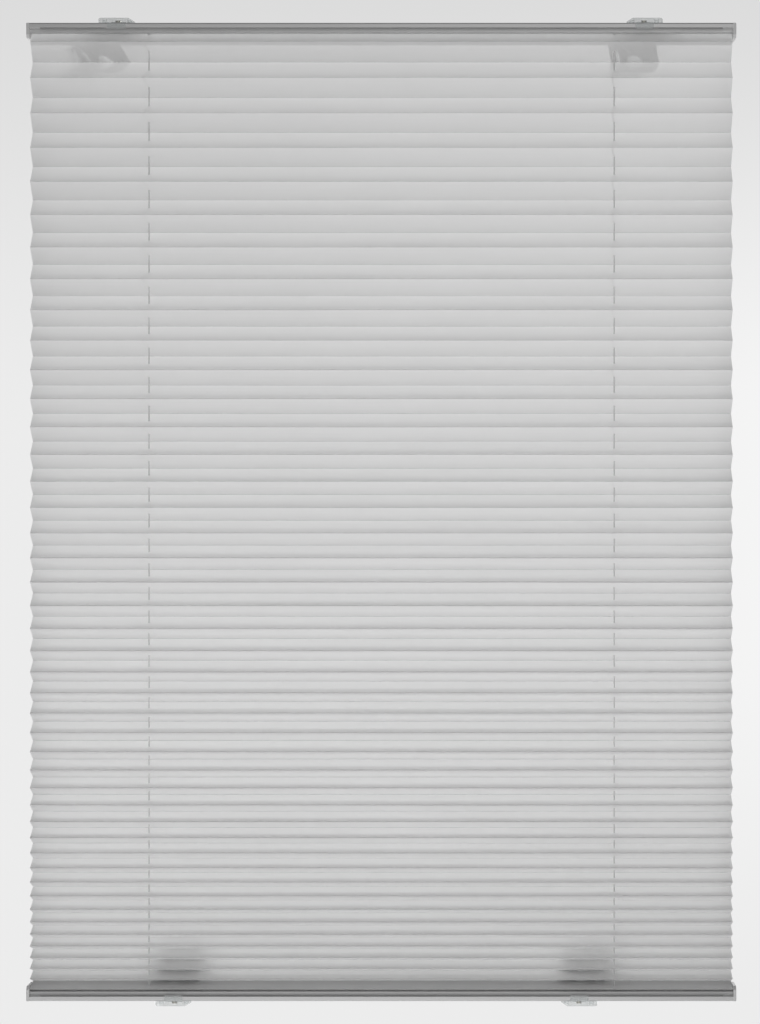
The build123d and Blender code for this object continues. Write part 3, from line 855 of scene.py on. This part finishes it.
class BLIND_OT_cords(bpy.types.Operator):
    """Run the two cords from shoe to shoe, through both rails and every pleat"""
    bl_idname = "blind.cords"
    bl_label = "Tension Cords"

    def execute(self, context):
        settings = context.scene.blind.cord
        finish = braided_cord(settings.color, settings.lay)
        group = cord_group()
        seam = context.scene["seam"]
        reach = CAD_BOX[1][0] - context.scene.blind.cloth.cord_inset

        def run(name, points, spacing=CORD_STEP):
            """A piece of cord along a line, or along a curve through its turns."""
            data = bpy.data.curves.new(name, "CURVE")
            data.dimensions = "3D"
            data.resolution_u = 12
            spline = data.splines.new("NURBS")
            spline.points.add(len(points) - 1)
            for point, place in zip(spline.points, points):
                point.co = (*place, 1.0)
            spline.order_u = 3 if len(points) > 2 else 2
            spline.use_endpoint_u = True
            piece = grown(linked(f"{name}_line", data), group,
                          {"Diameter": settings.diameter, "Sides": CORD_SIDES, "Spacing": spacing,
                           "Finish": finish}, name)
            smooth(piece, 50)
            return piece

        for side, word in ((-1, "left"), (1, "right")):
            node = f"tension_cord_{word}"
            low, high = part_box(node)
            x = side * reach
            for level, sign, strip, body, joint in (
                    ("top", 1, CLOTH_HIGH.z, "upper_rail", "top_rail_slide"),
                    ("bottom", -1, CLOTH_LOW.z, "lower_rail", "bottom_rail_slide")):
                outer = RAIL_HIGH.z if sign > 0 else FLOOR_RAIL_LOW.z
                ferrule_low, ferrule_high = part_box(f"{level}_{word}_cord_ferrule")
                foot = (ferrule_low.x + ferrule_high.x) / 2
                tip = high.z if sign > 0 else low.z
                step = 1 if x > foot else -1
                lane = outer - sign * settings.lane
                tail = run(f"{node}_{level}_tail",
                           [(foot, CORD_PLANE, tip), (foot, CORD_PLANE, outer)])
                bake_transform(tail)
                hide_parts(node)
                bend, turn = sign * CORD_BEND, step * CORD_BEND
                jog = run(f"{node}_{level}_jog", [
                    (foot, CORD_PLANE, outer), (foot, CORD_PLANE, lane + bend),
                    (foot, CORD_PLANE, lane), (foot + turn, CORD_PLANE, lane),
                    ((foot + x) / 2, CORD_PLANE, lane), (x - turn, CORD_PLANE, lane),
                    (x, CORD_PLANE, lane), (x, CORD_PLANE, lane - bend),
                    (x, CORD_PLANE, strip)])
                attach(jog, body)
                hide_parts(node)
                straight = run(f"{node}_{level}_run",
                               [(x, CORD_PLANE, strip), (x, CORD_PLANE, seam)], STRAIGHT_STEP)
                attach(straight, "frame")
                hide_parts(node)
                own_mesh(straight)
        return {"FINISHED"}


class BLIND_OT_screws(bpy.types.Operator):
    """Make the four clamp screws, with their hexagon sockets and threads"""
    bl_idname = "blind.screws"
    bl_label = "Clamp Screws"

    def execute(self, context):
        settings = context.scene.blind.bracket
        finish = zinc_steel(settings.zinc)
        group = thread_group()
        for corner in CORNERS:
            low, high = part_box(f"{corner}_clamp_screw")
            across, height = (low.x + high.x) / 2, (low.z + high.z) / 2
            back = low.y + settings.head_height
            turns = (high.y - back) / settings.pitch
            piece = grown(screw_head(across, height, back, settings), group, {
                "Start": back, "Tip": high.y, "Diameter": settings.shank, "Pitch": settings.pitch,
                "Across": across, "Height": height, "Rings": round(turns * RINGS_PER_TURN) + 1,
                "Sides": THREAD_SIDES, "Finish": finish,
            }, f"{corner}_threaded_screw")
            smooth(piece, 28)
            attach(piece, f"{corner}_screw_body")
            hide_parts(f"{corner}_clamp_screw")
        coat(at_corners("jaw_nut"), finish)
        return {"FINISHED"}


class BLIND_OT_rails(bpy.types.Operator):
    """Finish the rails, end caps, cloth strips and cord eyelets"""
    bl_idname = "blind.rails"
    bl_label = "Rails"

    def execute(self, context):
        settings = context.scene.blind.rail
        coat(["top_rail", "bottom_rail"], satin_aluminium(settings.metal))
        coat(at_rail_ends("end_cap"), moulded_plastic("end cap plastic", settings.cap))
        coat(["top_fabric_strip", "bottom_fabric_strip"], extruded_plastic(settings.strip))
        coat(at_rail_ends("cord_guide"),
             moulded_plastic("eyelet plastic", settings.guide, rough=0.3, grain=0.0004))
        return {"FINISHED"}


class BLIND_OT_brackets(bpy.types.Operator):
    """Finish the clamp brackets, their jaws, pads, clear shoes and ferrules"""
    bl_idname = "blind.brackets"
    bl_label = "Clamp Brackets"

    def execute(self, context):
        settings = context.scene.blind.bracket
        coat(at_corners("bracket"), painted_steel(settings.paint))
        coat(at_corners("plate_pad"), foam_pad(settings.pad))
        coat(at_corners("shoe") + at_corners("jaw"),
             clear_plastic("clear polycarbonate", settings.clear, settings.clarity))
        coat(at_corners("jaw_pad"),
             clear_plastic("clear silicone", settings.clear, settings.clarity * 0.9, rough=0.4))
        coat(at_corners("cord_ferrule"), crimped_brass(settings.brass))
        return {"FINISHED"}


class BLIND_OT_stage(bpy.types.Operator):
    """Lay the floor, and set the surround, the lights and the camera"""
    bl_idname = "blind.stage"
    bl_label = "Stage"

    def execute(self, context):
        settings = context.scene.blind.stage
        scene = context.scene
        scene.view_settings.view_transform = "Standard"
        front = RAIL_LOW.y

        camera = linked("camera", bpy.data.cameras.new("camera"))
        camera.location = (settings.aside, front - settings.distance, 0.0)
        camera.rotation_euler = (math.pi / 2, 0.0, 0.0)
        camera.data.sensor_width = SENSOR
        camera.data.lens = SENSOR * settings.distance / settings.view_height
        camera.data.shift_x = -(settings.aside + AIM_LEFT) / settings.view_height
        scene.camera = camera

        mesh = bmesh.new()
        bmesh.ops.create_circle(mesh, cap_ends=True, segments=FLOOR_SIDES,
                                 radius=FLOOR_RADIUS)
        data = bpy.data.meshes.new("floor")
        mesh.to_mesh(data)
        mesh.free()
        floor = linked("floor", data)
        floor.location.z = -settings.drop
        floor.data.materials.append(floor_paint(settings.floor, settings.floor_glow))

        world = bpy.data.worlds.new("surround")
        world.use_nodes = True
        scene.world = world
        t = Tree(world.node_tree)
        t.group.nodes.clear()
        out = t.node("ShaderNodeOutputWorld")
        x, _, z = t.split(t.node("ShaderNodeTexCoord", None, None, "Generated"))
        up = t.fade(z, *WALL_TOP)
        level = 1.0 - t.fade(t.math("ABSOLUTE", z), *WALL_ENDS)
        right = t.fade(x, *WALL_RIGHT) * level
        wall = settings.wall - up * WALL_TOP_SHADE + right * WALL_RIGHT_GLOW
        seen = t.node("ShaderNodeBackground", None, {"Color": t.join(wall, wall, wall)})
        lit = t.node("ShaderNodeBackground", None,
                     {"Color": (1.0, 1.0, 1.0, 1.0), "Strength": settings.sky})
        ray = t.node("ShaderNodeLightPath", None, None, "Is Camera Ray")
        both = t.node("ShaderNodeMixShader", None, {0: ray, 1: lit, 2: seen})
        t.group.links.new(both.output, out.inputs["Surface"])

        for name, power, place, size, aim in LAMPS:
            data = bpy.data.lights.new(name, "AREA")
            data.shape = "DISK" if size < ROUND_LAMP else "SQUARE"
            data.size = size
            data.energy = getattr(settings, power)
            light = linked(name, data)
            light.location = place
            light.rotation_mode = "QUATERNION"
            light.rotation_quaternion = (Vector(aim) - Vector(place)).to_track_quat("-Z", "Y")
            light.visible_camera = False
        return {"FINISHED"}


OPERATORS = (BLIND_OT_cloth, BLIND_OT_cords, BLIND_OT_screws, BLIND_OT_rails, BLIND_OT_brackets,
             BLIND_OT_stage)


class BLIND_PT_panel(bpy.types.Panel):
    """Sizes, looks and makers of the blind"""
    bl_label = "Pleated Blind"
    bl_idname = "BLIND_PT_panel"
    bl_space_type = "VIEW_3D"
    bl_region_type = "UI"
    bl_category = "Blind"

    def draw(self, context):
        for name in ("cloth", "cord", "rail", "bracket", "stage"):
            group = getattr(context.scene.blind, name)
            box = self.layout.box()
            box.label(text=group.bl_rna.description)
            for prop in group.bl_rna.properties:
                if prop.identifier not in ("rna_type", "name"):
                    box.prop(group, prop.identifier)
        for operator in OPERATORS:
            self.layout.operator(operator.bl_idname)


CLASSES = (ClothSettings, CordSettings, RailSettings, BracketSettings, StageSettings,
           BlindSettings, *OPERATORS, BLIND_PT_panel)


def register():
    """Adds the settings, the operators and the panel."""
    for item in CLASSES:
        bpy.utils.register_class(item)
    bpy.types.Scene.blind = PointerProperty(type=BlindSettings)


def unregister():
    """Takes them away again."""
    del bpy.types.Scene.blind
    for item in reversed(CLASSES):
        bpy.utils.unregister_class(item)


def main():
    """Makes the blind and its stage."""
    register()
    bpy.ops.blind.stage()
    bpy.ops.blind.cloth()
    bpy.ops.blind.cords()
    bpy.ops.blind.screws()
    bpy.ops.blind.rails()
    bpy.ops.blind.brackets()


if __name__ == "__main__":
    main()
